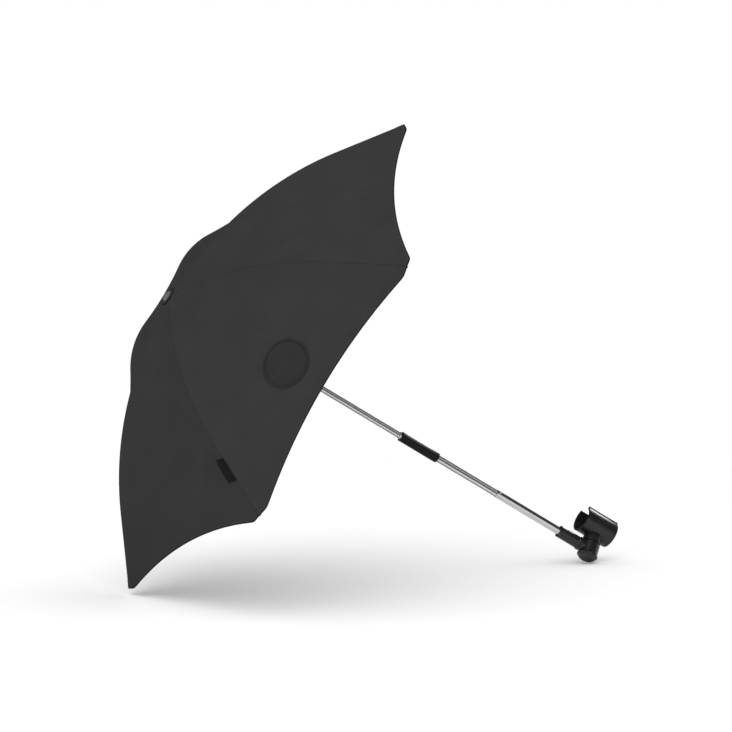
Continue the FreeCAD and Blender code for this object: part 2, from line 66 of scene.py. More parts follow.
# Clip, socket and knob: injection-moulded black nylon with a fine spark-eroded grain. The clip snaps
# over a pram's tube, the socket turns on its bolt and holds the shaft, and the knob clamps the two.
# The runner, the top notch and the rib tips are moulded from the same nylon.
class Wire:
    """One output socket in a node tree. Sums on it add Math nodes, and node() adds any other kind."""

    def __init__(self, tree, socket=None):
        self.tree = tree
        self.socket = socket

    def node(self, kind, settings, sockets, output=0):
        made = self.tree.nodes.new(kind)
        for name, value in settings.items():
            setattr(made, name, value)
        for name, value in sockets.items():
            if isinstance(value, Wire):
                self.tree.links.new(value.socket, made.inputs[name])
            else:
                made.inputs[name].default_value = value
        return Wire(self.tree, made.outputs[output] if made.outputs else None)

    def sum(self, operation, *values):
        return self.node("ShaderNodeMath", {"operation": operation}, dict(enumerate(values)))

    def __add__(self, other):
        return self.sum("ADD", self, other)

    def __radd__(self, other):
        return self.sum("ADD", other, self)

    def __sub__(self, other):
        return self.sum("SUBTRACT", self, other)

    def __rsub__(self, other):
        return self.sum("SUBTRACT", other, self)

    def __mul__(self, other):
        return self.sum("MULTIPLY", self, other)

    def __rmul__(self, other):
        return self.sum("MULTIPLY", other, self)

    def __lt__(self, other):
        return self.sum("LESS_THAN", self, other)

    def __gt__(self, other):
        return self.sum("GREATER_THAN", self, other)

    def __abs__(self):
        return self.sum("ABSOLUTE", self)

    def wave(self, length):
        """A sine from -1 to 1 that repeats after this length."""
        return self.sum("SINE", self * (2 * math.pi / length))

    def between(self, low, high):
        """0 up to low, 1 from high on, and a straight slope between them."""
        return self.node("ShaderNodeMapRange", {"clamp": True}, {0: self, 1: low, 2: high, 3: 0.0, 4: 1.0})

    def tint(self, first, last):
        """A colour from the first one at 0 to the last one at 1."""
        return self.node(
            "ShaderNodeMix", {"data_type": "RGBA"}, {0: self, 6: (*first, 1), 7: (*last, 1)}, output=2
        )


def new_finish(name):
    material = bpy.data.materials.new(name)
    material.use_nodes = True
    material.node_tree.nodes.clear()
    return material, Wire(material.node_tree)


def close_finish(wire, shader):
    wire.node("ShaderNodeOutputMaterial", {}, {"Surface": shader})


def plain_surface(wire, sockets):
    close_finish(wire, wire.node("ShaderNodeBsdfPrincipled", {}, sockets))


def in_metres(wire, stretch=(1, 1, 1)):
    """Places on the piece in metres. A number below 1 draws a pattern out along that axis."""
    place = wire.node("ShaderNodeTexCoord", {}, {}, output="Object")
    return wire.node("ShaderNodeVectorMath", {"operation": "MULTIPLY"}, {0: place, 1: stretch})


def grain(wire, place, size, detail=2.0):
    return wire.node("ShaderNodeTexNoise", {}, {"Vector": place, "Scale": 1 / size, "Detail": detail})


def bumped(wire, height, depth):
    return wire.node("ShaderNodeBump", {}, {"Height": height, "Distance": depth, "Strength": 1.0})


flow_size = 0.012
spark_size = 0.00045


def moulded_finish(name, dark, light, gloss, grain_depth, shine=0.5):
    """A black moulding between two greys. Gloss gives its lowest and highest roughness."""
    material, wire = new_finish(name)
    place = in_metres(wire)
    flow = grain(wire, place, flow_size, 3.0)
    spark = grain(wire, place, spark_size)
    smooth, rough = gloss
    plain_surface(wire, {
        "Base Color": (flow * 0.7 + spark * 0.3).tint((dark,) * 3, (light,) * 3),
        "Roughness": smooth + (rough - smooth) * (flow * 0.6 + spark * 0.4),
        "Specular IOR Level": shine,
        "Normal": bumped(wire, spark, grain_depth),
    })
    return material


def dress(material, *nodes):
    for name in nodes:
        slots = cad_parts[name].data.materials
        slots.clear()
        slots.append(material)


ribs = range(1, 7)


def on_each_rib(name):
    return [f"{name}_{rib}" for rib in ribs]


black_nylon = moulded_finish(
    "black_nylon", dark=0.006, light=0.013, gloss=(0.24, 0.36), grain_depth=0.00004, shine=0.42
)
dress(black_nylon, "clip", "shaft_socket", "clamp_knob", "runner", "top_notch", *on_each_rib("rib_tip"))


# Small steel: turned and cropped pins, the pivot bolt, the notch's wire ring and the rib rivets.
# Bright zinc over steel, with the fine rings of the bar lathe and a little dulling.
dulling_size = 0.006
line_depth = 0.00001


def bright_metal(name, dark, light, gloss, line_size, stretch=(1, 1, 1)):
    """A metal between two colours, with fine lines. Gloss gives its lowest and highest roughness."""
    material, wire = new_finish(name)
    lines = grain(wire, in_metres(wire, stretch), line_size, 3.0)
    dulling = grain(wire, in_metres(wire), dulling_size)
    worn = (lines * 0.6 + dulling * 0.4).between(0.36, 0.64)
    smooth, rough = gloss
    plain_surface(wire, {
        "Base Color": worn.tint(dark, light),
        "Metallic": 1.0,
        "Roughness": smooth + (rough - smooth) * worn,
        "Normal": bumped(wire, lines, line_depth),
    })
    return material


bright_zinc = bright_metal(
    "bright_zinc", dark=(0.50, 0.51, 0.52), light=(0.70, 0.70, 0.70), gloss=(0.18, 0.34), line_size=0.0006
)
dress(bright_zinc, "pivot_bolt", "socket_pin", "tilt_pin", "notch_wire", "finial_stud")
dress(bright_zinc, *on_each_rib("joint_rivet"))


# Cross pin of the pivot: a hardened steel dowel, blackened in hot oil. It is driven through the clip's
# boss and the pivot bolt, which it keeps from turning.
oiled_steel = bright_metal(
    "oiled_steel", dark=(0.016, 0.016, 0.017), light=(0.040, 0.040, 0.042),
    gloss=(0.34, 0.48), line_size=0.0006
)
dress(oiled_steel, "cross_pin")


# Button of the telescope: turned steel, barrelled and plated with satin nickel. It is riveted to its
# leaf spring and stands out through a hole in both tubes.
satin_nickel = bright_metal(
    "satin_nickel", dark=(0.80, 0.79, 0.77), light=(0.90, 0.89, 0.87), gloss=(0.44, 0.56), line_size=0.0008
)
dress(satin_nickel, "snap_button")


# Springs: the U-shaped leaf behind the telescope's button, and the catch that holds the runner up.
# Both are bent from blued spring steel, rolled along the shaft.
along_shaft = (1, 1, 0.04)
spring_steel = bright_metal(
    "spring_steel", dark=(0.30, 0.31, 0.34), light=(0.46, 0.46, 0.48),
    gloss=(0.24, 0.40), line_size=0.0008, stretch=along_shaft
)
dress(spring_steel, "snap_spring", "runner_catch")


# Threaded insert of the knob: turned brass with the fine rings of the lathe round its axis.
# It is pressed into the moulding and runs on the pivot bolt.
round_insert = (1, 6, 1)
turned_brass = bright_metal(
    "turned_brass", dark=(0.66, 0.47, 0.20), light=(0.80, 0.61, 0.30),
    gloss=(0.20, 0.32), line_size=0.0008, stretch=round_insert
)
dress(turned_brass, "knob_insert")


# Washer, tube foot, plug, crown disc and finial ring: plain dark acetal and fibre, turned from bar.
# They are pressed in or clamped between the pieces that they part.
dark_acetal = moulded_finish(
    "dark_acetal", dark=0.010, light=0.020, gloss=(0.40, 0.58), grain_depth=0.00003
)
dress(dark_acetal, "friction_washer", "middle_tube_foot", "tube_plug", "crown_disc", "finial_ring")


# Shaft: three steel tubes, chrome plated, of which the middle one slides in the lower. That one is
# polished, and the two above it are drawn with six shallow grooves. Their colour is a painted reflection:
# dark streaks along the grooves and light ones on the lands between.
polished_chrome = bright_metal(
    "polished_chrome", dark=(0.56, 0.565, 0.58), light=(0.64, 0.645, 0.65),
    gloss=(0.05, 0.10), line_size=0.0012, stretch=along_shaft
)
dress(polished_chrome, "lower_tube")
shaft_low, shaft_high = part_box("upper_tube")
shaft_x = (shaft_low.x + shaft_high.x) / 2
shaft_y = (shaft_low.y + shaft_high.y) / 2
streak_and_groove_gap = math.radians(60)
streak_and_groove_start = math.radians(39)
groove_depth = 0.00002
painted_dark_streak = (0.09, 0.092, 0.095)
painted_light_streak = (0.74, 0.745, 0.75)


def from_point(wire, place, point):
    return wire.node("ShaderNodeVectorMath", {"operation": "SUBTRACT"}, {0: place, 1: point})


def first_two(wire, vector):
    return [wire.node("ShaderNodeSeparateXYZ", {}, {0: vector}, output=axis) for axis in "XY"]


def drawn_finish():
    material, wire = new_finish("drawn_chrome")
    place = in_metres(wire)
    side_x, side_y = first_two(wire, from_point(wire, place, (shaft_x, shaft_y, 0)))
    turn = wire.sum("ARCTAN2", side_y, side_x)
    # Painted reflection: each groove is tinted to a dark streak and each land to a light one, turned round
    # the shaft to where the room's streaks would lie.
    groove_painted_dark = (turn + streak_and_groove_start).wave(streak_and_groove_gap).between(0.0, 0.9)
    plain_surface(wire, {
        "Base Color": groove_painted_dark.tint(painted_light_streak, painted_dark_streak),
        "Metallic": 1.0,
        "Roughness": 0.54 + 0.14 * grain(wire, place, dulling_size),
        "Normal": bumped(wire, 0 - groove_painted_dark, groove_depth),
    })
    return material


dress(drawn_finish(), "middle_tube", "upper_tube")


# Knuckle under the sleeve: a fork and a tongue milled from aluminium alloy.
# They are pressed into the ends of the two tubes and turn on a pin.
across_shaft = (1, 1, 5)
milled_alloy = bright_metal(
    "milled_alloy", dark=(0.56, 0.56, 0.57), light=(0.70, 0.70, 0.71),
    gloss=(0.26, 0.42), line_size=0.0010, stretch=across_shaft
)
dress(milled_alloy, "tilt_fork", "tilt_tongue")


# Sleeve that locks the knuckle: a smooth extruded black tube, a little less shiny than the mouldings.
# It slides on the shaft, down off the knuckle to free it.
black_sleeve = moulded_finish(
    "black_sleeve", dark=0.006, light=0.010, gloss=(0.26, 0.34), grain_depth=0.00002, shine=0.12
)
dress(black_sleeve, "tilt_sleeve")


# Ribs and stretchers: steel wire and strip in black stoved enamel, with a slight orange peel.
# The ribs hang on the notch's wire ring, and each stretcher is riveted to its rib.
black_enamel = moulded_finish(
    "black_enamel", dark=0.018, light=0.030, gloss=(0.22, 0.34), grain_depth=0.00004
)
dress(black_enamel, *on_each_rib("rib"), *on_each_rib("stretcher"))


# Finial: a low satin grey cap, moulded with faint rings round its middle.
# It is screwed on over the cloth and the dark ring under it.
cap_low, cap_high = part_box("finial_cap")
cap_middle = ((cap_low.x + cap_high.x) / 2, (cap_low.y + cap_high.y) / 2, cap_high.z)
cap_ring_gap = 0.0009


def distance_from(wire, place, point):
    offset = from_point(wire, place, point)
    return wire.node("ShaderNodeVectorMath", {"operation": "LENGTH"}, {0: offset}, output="Value")


def finial_finish():
    material, wire = new_finish("grey_cap")
    place = in_metres(wire)
    rings = 0.5 + 0.5 * distance_from(wire, place, cap_middle).wave(cap_ring_gap)
    speck = grain(wire, place, 0.0008)
    plain_surface(wire, {
        "Base Color": (rings * 0.25 + speck * 0.75).tint((0.10, 0.10, 0.103), (0.155, 0.155, 0.158)),
        "Roughness": 0.36 + 0.12 * speck,
        "Specular IOR Level": 0.25,
        "Normal": bumped(wire, rings, 0.00002),
    })
    return material


dress(finial_finish(), "finial_cap")


# Canopy: six gores of charcoal polyester sewn together over the ribs into one taut sheet with a turned
# hem. The cloth takes the ribs' curve one way only, and pulls in a little between one rib and the next.
canopy_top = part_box("canopy_gore_1")[1].z
rib_gap = math.radians(60)
half_gap = rib_gap / 2
share_width = math.sin(half_gap) * math.cos(half_gap)
crown_flat = 0.0075
crown_cone = 0.070
crown_angle = math.radians(8.3)
crown_slope = math.tan(crown_angle)
dome_radius = 0.430
skirt_angle = math.radians(37.5)
dome_from_shaft = crown_cone - dome_radius * math.sin(crown_angle)
dome_centre = canopy_top - (crown_cone - crown_flat) * crown_slope - dome_radius * math.cos(crown_angle)
skirt_start = dome_from_shaft + dome_radius * math.sin(skirt_angle)
skirt_height = dome_centre + dome_radius * math.cos(skirt_angle)
corner_reach = 0.356
corner_round = 0.0008
blunt_reach = 0.349
blunt_slant = 0.10
hem_middle = 0.2911
hem_sag = corner_reach * math.cos(half_gap) - hem_middle
hem_radius = ((corner_reach / 2) ** 2 + hem_sag ** 2) / (2 * hem_sag)
hem_width = 0.009
hem_lift = 0.0004
hem_tries = 8
pull_in = 0.005
pull_start = 0.02
pull_end = hem_middle / math.cos(half_gap)
seam_ease = 0.02
cloth = 0.0005


def rib_height(reach):
    """Height of the cloth over a rib, this far from the shaft."""
    cone = canopy_top - (np.maximum(reach, crown_flat) - crown_flat) * crown_slope
    inside = np.clip(reach - dome_from_shaft, 0, dome_radius)
    dome = dome_centre + np.sqrt(dome_radius ** 2 - inside ** 2)
    skirt = skirt_height - (reach - skirt_start) * math.tan(skirt_angle)
    return np.where(reach < crown_cone, cone, np.where(reach < skirt_start, dome, skirt))


def rib_fall(reach):
    """How steeply the cloth falls along a rib."""
    inside = np.clip(reach - dome_from_shaft, 0, 0.95 * dome_radius)
    dome = inside / np.sqrt(dome_radius ** 2 - inside ** 2)
    beyond_crown = np.where(reach < skirt_start, dome, math.tan(skirt_angle))
    return np.where(reach < crown_cone, crown_slope, beyond_crown)


def hem_reach(share):
    """Where the cloth ends, as a reach along the rib, for a share of the way to the middle of a gore."""
    share = np.abs(share)
    reach = np.full_like(share, corner_reach)
    for _ in range(hem_tries):
        across = (1 - share) * reach / 2
        reach = (hem_middle + hem_radius - np.sqrt(hem_radius ** 2 - across ** 2)) / math.cos(half_gap)
    blunt = blunt_reach / (1 - blunt_slant * share)
    return -corner_round * np.log(np.exp(-reach / corner_round) + np.exp(-blunt / corner_round))


def rib_ways(rib):
    """The ways out along a rib and across it."""
    angle = (rib - 1) * rib_gap
    return np.array([math.cos(angle), math.sin(angle), 0]), np.array([-math.sin(angle), math.cos(angle), 0])


def on_cloth(rib, reach, share, lift):
    """A point on the cloth beside a rib: share goes from -1 to 1 between the middles of its two gores."""
    out, across = rib_ways(rib)
    side = np.abs(share)
    turn = np.sign(share) * half_gap * np.clip(side / seam_ease, 0, 1)
    fall = rib_fall(reach) / np.cos(turn)
    size = np.sqrt(1 + fall ** 2)
    pull_run = np.clip((reach - pull_start) / (pull_end - pull_start), 0, 1)
    lift = lift - pull_in * np.sin(np.pi * pull_run) ** 1.5 * (2 * side - side ** 2)
    lean = lift * fall / size
    radial = reach * (1 - side * math.sin(half_gap) ** 2) + lean * np.cos(turn)
    tangent = reach * share_width * share + lean * np.sin(turn)
    height = rib_height(reach) + lift / size
    points = radial[..., None] * out + tangent[..., None] * across
    return points + np.stack([np.full_like(height, shaft_x), np.full_like(height, shaft_y), height], -1)


def run_along(out, height):
    """Metres along a line of points from its first one."""
    steps = np.hypot(np.diff(out), np.diff(height))
    return np.cumsum(np.concatenate([0 * steps[..., :1], steps], -1), -1)


def grid_piece(name, points, maps, material, thickness=0.0):
    """A sheet through a grid of points, with a UV map of metres for each entry of maps."""
    rows, columns = points.shape[:2]
    number = np.arange(rows * columns).reshape(rows, columns)
    quads = np.stack([number[:-1, :-1], number[1:, :-1], number[1:, 1:], number[:-1, 1:]], -1).reshape(-1, 4)
    mesh = bpy.data.meshes.new(name)
    mesh.from_pydata(points.reshape(-1, 3).tolist(), [], quads.tolist())
    corners = np.empty(len(mesh.loops), dtype=np.int32)
    mesh.loops.foreach_get("vertex_index", corners)
    strips = np.arange(len(quads)).repeat(4) % (columns - 1)
    for label, place in maps.items():
        layer = mesh.uv_layers.new(name=label)
        values = place(corners // columns, corners % columns, strips)
        layer.data.foreach_set("uv", np.stack(values, -1).astype(np.float32).ravel())
    mesh.polygons.foreach_set("use_smooth", [True] * len(quads))
    ends = np.array([edge.vertices[:] for edge in mesh.edges])
    row, column = ends // columns, ends % columns
    rim = ((row == 0) | (row == rows - 1)).all(1) | ((column == 0) | (column == columns - 1)).all(1)
    mesh.edges.foreach_set("use_edge_sharp", rim)
    mesh.materials.append(material)
    piece = bpy.data.objects.new(name, mesh)
    bpy.context.scene.collection.objects.link(piece)
    if thickness:
        solid = piece.modifiers.new("cloth", "SOLIDIFY")
        solid.thickness = thickness
        solid.offset = -1
    return piece


def folds_with(piece, rib):
    """The piece rides on its rib."""
    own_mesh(piece)
    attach(piece, f"rib_{rib}")


def uv_place(wire, label):
    return first_two(wire, wire.node("ShaderNodeUVMap", {"uv_map": label}, {}))


def weave_of(along, across, pitch):
    """Plain weave: warp and weft pass over each other by turns."""
    return 0.5 + 0.5 * (along.wave(2 * pitch) * across.wave(2 * pitch))


thread_half = 0.0003
stitch_pitch = 0.0034
stitch_break = -0.2


def stitches(across, line, along, pitch=stitch_pitch):
    """A row of stitches along a line, which lies this far across."""
    return (abs(across - line) < thread_half) * (along.wave(pitch) > stitch_break)


cloth_black = (0.003, 0.003, 0.0031)
cloth_shine = 0.004
cloth_relief = 0.00022
hem_stitch_line = 0.0075
seam_stitch_line = 0.0016


def canopy_finish():
    material, wire = new_finish("charcoal_polyester")
    across, along = uv_place(wire, "cut")
    from_rib, from_hem = uv_place(wire, "seam")
    weave = weave_of(along, across, 0.0004)
    cloud = grain(wire, in_metres(wire), 0.045, 3.0)
    slub = grain(wire, in_metres(wire), 0.0018)
    seam = 1 - abs(from_rib).between(0.0004, 0.0011)
    seam_stitch = stitches(abs(from_rib), seam_stitch_line, along)
    hem_stitch = stitches(from_hem, hem_stitch_line, from_rib)
    # Painted shade: a dark band along the turned edge of the hem, where the fold falls into shade.
    edge = 1 - from_hem.between(0.0009, 0.0021)
    dark = 1 - 0.16 * seam - 0.20 * hem_stitch - 0.08 * seam_stitch - 0.75 * edge
    shade = dark * (0.45 + 0.25 * weave + 0.20 * cloud + 0.10 * slub)
    pucker = along.wave(0.0085) * (1 - abs(from_rib).between(0.001, 0.014))
    hem_pucker = from_rib.wave(0.0095) * (1 - from_hem.between(0.004, 0.016))
    height = 0.14 * weave + 0.5 * pucker + 0.5 * hem_pucker - 0.6 * seam - 0.6 * hem_stitch + 0.5 * slub
    plain_surface(wire, {
        "Base Color": shade.tint(cloth_black, (0.0495, 0.0495, 0.0507)),
        "Roughness": 0.72 + 0.14 * slub,
        "Specular IOR Level": cloth_shine,
        "Normal": bumped(wire, height, cloth_relief),
    })
    return material


charcoal = canopy_finish()
seam_shares = [0, 0.008, 0.022, 0.05, 0.07, 0.09, 0.115, 0.14]
half_shares = np.concatenate([seam_shares, np.linspace(0.2, 1, 11)])
shares = np.concatenate([-half_shares[:0:-1], half_shares])
middle_column = len(half_shares) - 1
panel_start = 0.0085
panel_end = hem_reach(shares)
hem_crease = 0.0006
body_end = panel_end - hem_width - 2 * hem_crease
body_steps = np.linspace(0, 1, 37)
hem_insets = np.array([hem_width + hem_crease, hem_width, 0.006, 0.003, 0.0008, 0])
hem_lifts = np.array([0, hem_lift, hem_lift, hem_lift, hem_lift, 0])
panel_reach = np.concatenate([
    panel_start + (body_end - panel_start) * body_steps[:, None], panel_end - hem_insets[:, None]
])
panel_lift = np.concatenate([0 * body_steps, hem_lifts])[:, None] + 0 * panel_reach
panel_share = shares + 0 * panel_reach
panel_run = run_along(panel_reach.T, rib_height(panel_reach).T).mean(0)


def cut_map(row, column, strip):
    """Metres across and along a gore, from its own middle line."""
    reach, share = panel_reach[row, column], np.abs(shares[column])
    side = np.where(strip < middle_column, 1, -1)
    return side * (1 - share) * reach / 2, panel_run[row]


def seam_map(row, column, strip):
    """Metres from the rib, and from the hem."""
    reach = panel_reach[row, column]
    return reach * share_width * shares[column], (panel_end[column] - reach) / math.cos(skirt_angle)


for rib in ribs:
    panel = grid_piece(
        f"canopy_panel_{rib}", on_cloth(rib, panel_reach, panel_share, panel_lift),
        {"cut": cut_map, "seam": seam_map}, charcoal, cloth
    )
    before = (rib - 2) % 6 + 1
    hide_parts(f"canopy_gore_{rib}", f"canopy_gore_{before}")
    folds_with(panel, rib)


# Pockets: a small cap of the same cloth at each corner, which holds the end of the rib.
# It is sewn under the hem along three sides and open towards the shaft.
pocket_rows = np.array([0.3215, 0.3225, 0.328, 0.334, 0.340, 0.3445, 0.3468, 0.3478])
pocket_drops = np.array([0.0047, 0.0045, 0.0044, 0.0044, 0.0044, 0.0040, 0.0022, 0.0])
pocket_sides = np.array([-9, -7.5, -5.5, -4, -2.8, -1.6, 0, 1.6, 2.8, 4, 5.5, 7.5, 9]) * 0.001
pocket_narrow = np.array([1, 1, 1, 1, 1, 1, 1, 0.8])[:, None]
pocket_reach = pocket_rows[:, None] + 0 * pocket_sides
pocket_share = pocket_sides * pocket_narrow / (share_width * pocket_reach)
pocket_under = 0.0008
rib_room = 0.0040
rib_bulge = np.exp(-(pocket_sides / rib_room) ** 4)
pocket_lift = -pocket_under - pocket_drops[:, None] * rib_bulge
off_seam = 0.02


def pocket_cut(row, column, strip):
    return pocket_sides[column], pocket_rows[row] / math.cos(skirt_angle)


def pocket_seam(row, column, strip):
    return off_seam + pocket_sides[column], (pocket_rows[row] - pocket_rows[0]) / math.cos(skirt_angle)


for rib in ribs:
    pocket = grid_piece(
        f"tip_pocket_{rib}", on_cloth(rib, pocket_reach, pocket_share, pocket_lift),
        {"cut": pocket_cut, "seam": pocket_seam}, charcoal, cloth
    )
    folds_with(pocket, rib)


# Ties: a short band of the same cloth, sewn to the gores on either side and passed under each rib, which
# keeps the cloth on it.
tie_places = (0.118, 0.232)
tie_half_width = 0.0053
tie_cloth = 0.0003
tie_loop = 0.0018
tie_depth = 0.0024
tie_turns = np.radians(np.linspace(-130, 130, 21))
tie_ends = np.array([0.0022, 0.0030, 0.0045, 0.0062])
tie_under = 0.0009
end_lifts = 0 * tie_ends - tie_under
tie_across = np.concatenate([-tie_ends[::-1], tie_loop * np.sin(tie_turns), tie_ends])
tie_lift = np.concatenate([end_lifts, -tie_depth - tie_loop * np.cos(tie_turns), end_lifts])
tie_run = run_along(tie_across, tie_lift)
tie_rows = np.array([-1, -0.94, -0.5, 0, 0.5, 0.94, 1]) * tie_half_width


def tie_cut(row, column, strip):
    return tie_rows[row], tie_run[column]


def tie_seam(row, column, strip):
    return off_seam + tie_run[column], tie_half_width - np.abs(tie_rows[row])


for rib in ribs:
    for number, reach in enumerate(tie_places, 1):
        tie_reach = reach + tie_rows[:, None] + 0 * tie_across
        tie_share = tie_across / (share_width * tie_reach)
        tie = grid_piece(
            f"rib_tie_{rib}_{number}", on_cloth(rib, tie_reach, tie_share, tie_lift + 0 * tie_reach),
            {"cut": tie_cut, "seam": tie_seam}, charcoal, tie_cloth
        )
        folds_with(tie, rib)


# Rosette: a round washer of the same cloth, which covers where the gores meet.
# It is clamped under the finial's ring.
rosette_reach = 0.0125
rosette_rings = np.array([0.0022, 0.005, 0.008, 0.0105, 0.0119, rosette_reach, rosette_reach])
rosette_lifts = np.array([0.0, 0.0, 0.0004, 0.0006, 0.0006, 0.0003, -0.0002])
rosette_angles = np.linspace(0, 2 * math.pi, 49)
rosette_x = rosette_rings[:, None] * np.cos(rosette_angles)
rosette_y = rosette_rings[:, None] * np.sin(rosette_angles)
rosette_z = (rib_height(rosette_rings) + rosette_lifts)[:, None] + 0 * rosette_angles


def rosette_cut(row, column, strip):
    return rosette_x[row, column], rosette_y[row, column]


def rosette_seam(row, column, strip):
    return off_seam + rosette_rings[row] * rosette_angles[column], rosette_reach - rosette_rings[row]


rosette = grid_piece(
    "crown_rosette", np.stack([shaft_x + rosette_x, shaft_y + rosette_y, rosette_z], -1),
    {"cut": rosette_cut, "seam": rosette_seam}, charcoal
)
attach(rosette, "head")


# Patch: a round of heavier cloth with a corded rim, sewn to the middle of one gore. Its two halves
# ride on the ribs on either side of that gore.
patch_reach = 0.0315
patch_from_hem = 0.0468
patch_from_shaft = hem_middle - patch_from_hem
patch_slope = math.atan(math.tan(skirt_angle) / math.cos(half_gap))
patch_rings = np.array([
    0, 0.006, 0.012, 0.018, 0.0235, 0.0275, 0.0288, 0.0294, 0.0302, 0.0309, 0.0314, patch_reach
])
patch_lifts = np.array([9, 9, 9, 9, 9, 9, 9, 14, 18, 16, 8, -3]) * 0.0001
patch_angles = np.linspace(0, math.pi, 33)
patch_stitch_line = 0.0262
rim_start = 0.0286


def patch_finish():
    material, wire = new_finish("patch_cloth")
    across, along = uv_place(wire, "cut")
    round_way, from_middle = uv_place(wire, "seam")
    weave = weave_of(along, across, 0.0006)
    slub = grain(wire, in_metres(wire), 0.0015)
    cloud = grain(wire, in_metres(wire), 0.02, 3.0)
    rim = from_middle.between(rim_start, 0.0290)
    twist = 0.5 + 0.5 * (round_way + from_middle).wave(0.0016)
    stitch = stitches(from_middle, patch_stitch_line, round_way)
    # Painted shade: the cloth darkens in the groove just inside the corded rim.
    groove_painted_dark = 1 - abs(from_middle - rim_start).between(0.0002, 0.0008)
    cloth_shade = 0.40 + 0.25 * weave + 0.15 * slub + 0.20 * cloud
    shade = cloth_shade - 0.15 * stitch - 0.32 * groove_painted_dark + 0.10 * rim * twist
    height = 0.3 * weave * (1 - rim) + 0.5 * rim * twist - 0.8 * stitch + 0.4 * slub
    plain_surface(wire, {
        "Base Color": shade.tint(cloth_black, (0.041, 0.041, 0.042)),
        "Roughness": 0.70 + 0.16 * slub,
        "Specular IOR Level": cloth_shine,
        "Normal": bumped(wire, height, cloth_relief),
    })
    return material


patch_weave = patch_finish()
patch_across = patch_rings[:, None] * np.sin(patch_angles)
patch_down = patch_rings[:, None] * np.cos(patch_angles)
patch_run = (patch_from_shaft + patch_down * math.cos(patch_slope)) / math.cos(half_gap)
patch_share = 1 - 2 * patch_across / patch_run
patch_lift = patch_lifts[:, None] + 0 * patch_run


def patch_seam(row, column, strip):
    return patch_rings[row] * patch_angles[column], patch_rings[row]


for rib, side in ((1, -1), (6, 1)):
    def patch_cut(row, column, strip):
        return side * patch_across[row, column], patch_down[row, column]

    points = on_cloth(rib, patch_run, side * patch_share, patch_lift)
    half = grid_piece(
        f"round_patch_{rib}", points if side > 0 else points[:, ::-1],
        {"cut": patch_cut, "seam": patch_seam}, patch_weave
    )
    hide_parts("canopy_patch")
    folds_with(half, rib)


# Tag: a short loop of black woven tape, caught in one seam near the hem by its long edge and lying over
# the gore beside it, bare of any marking.
tag_half_width = 0.0063
tag_middle = 0.2902
tag_half_run = 0.0141
tag_half_length = tag_half_run / math.cos(skirt_angle)
tag_tape = 0.0004
tag_tuck = 0.0008
tag_slant = 0.0022
tag_flare = 0.16
tag_rest, tag_rise, tag_curl = 0.0010, 0.0011, 0.0004
tag_steps = np.linspace(-1, 1, 19)
tag_sides = np.array([-1, -0.96, -0.5, -0.12, 0, 0.12, 0.5, 0.96, 1])
tag_stitch_line = 0.0148
tag_stitch_pitch = 0.0026


def tape_finish():
    material, wire = new_finish("black_tape")
    across, along = uv_place(wire, "cut")
    cords = 0.5 + 0.5 * along.wave(0.0011)
    threads = 0.5 + 0.5 * across.wave(0.0006)
    selvedge = abs(across).between(0.0040, 0.0043)
    stitch = stitches(abs(along), tag_stitch_line, across, tag_stitch_pitch)
    shade = 0.25 + 0.35 * cords + 0.20 * threads + 0.20 * selvedge - 0.25 * stitch
    plain_surface(wire, {
        "Base Color": shade.tint((0.002, 0.002, 0.0021), (0.011, 0.011, 0.0115)),
        "Roughness": 0.55 + 0.2 * threads,
        "Specular IOR Level": 0.05,
        "Normal": bumped(wire, 0.6 * cords + 0.3 * threads + 0.3 * selvedge - stitch, 0.00015),
    })
    return material


tag_out = (1 - tag_sides) / 2
tag_down = tag_steps[:, None]
tag_reach = tag_middle + tag_half_run * tag_down - tag_slant * tag_out
tag_spread = 1 + tag_flare * (1 + tag_down) / 2
tag_share = (tag_tuck - 2 * tag_half_width * tag_out * tag_spread) / (share_width * tag_reach)
tag_lift = tag_rest + tag_rise * tag_out + tag_curl * np.cos(math.pi * tag_down)


def tag_cut(row, column, strip):
    return tag_half_width * tag_sides[column], tag_half_length * tag_steps[row]


tag_points = on_cloth(6, tag_reach, tag_share, tag_lift)
tag = grid_piece("seam_tag", tag_points, {"cut": tag_cut}, tape_finish(), tag_tape)
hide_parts("side_tag")
folds_with(tag, 6)


# Camera: the photograph's own standpoint, beside the canopy and a little above the table. Its place, its
# two ways and its lens come from the fit to the rib tips, the finial and marks on the shaft.
photo_pixels = 732
focal_pixels = 2958.67
camera_place = Vector((3.1310, -1.9161, 1.6668))
right = Vector((0.51039, 0.29359, -0.80827)).normalized()
forward = Vector((-0.80304, 0.49894, -0.32586)).normalized()
up = right.cross(forward).normalized()
camera_data = bpy.data.cameras.new("camera")
camera_data.sensor_width = 36.0
camera_data.lens = camera_data.sensor_width * focal_pixels / photo_pixels
camera = bpy.data.objects.new("camera", camera_data)
bpy.context.scene.collection.objects.link(camera)
camera_turn = Matrix((right, up, -forward)).transposed()
camera.matrix_world = Matrix.Translation(camera_place) @ camera_turn.to_4x4()
bpy.context.scene.camera = camera
bpy.context.scene.view_settings.view_transform = "Standard"


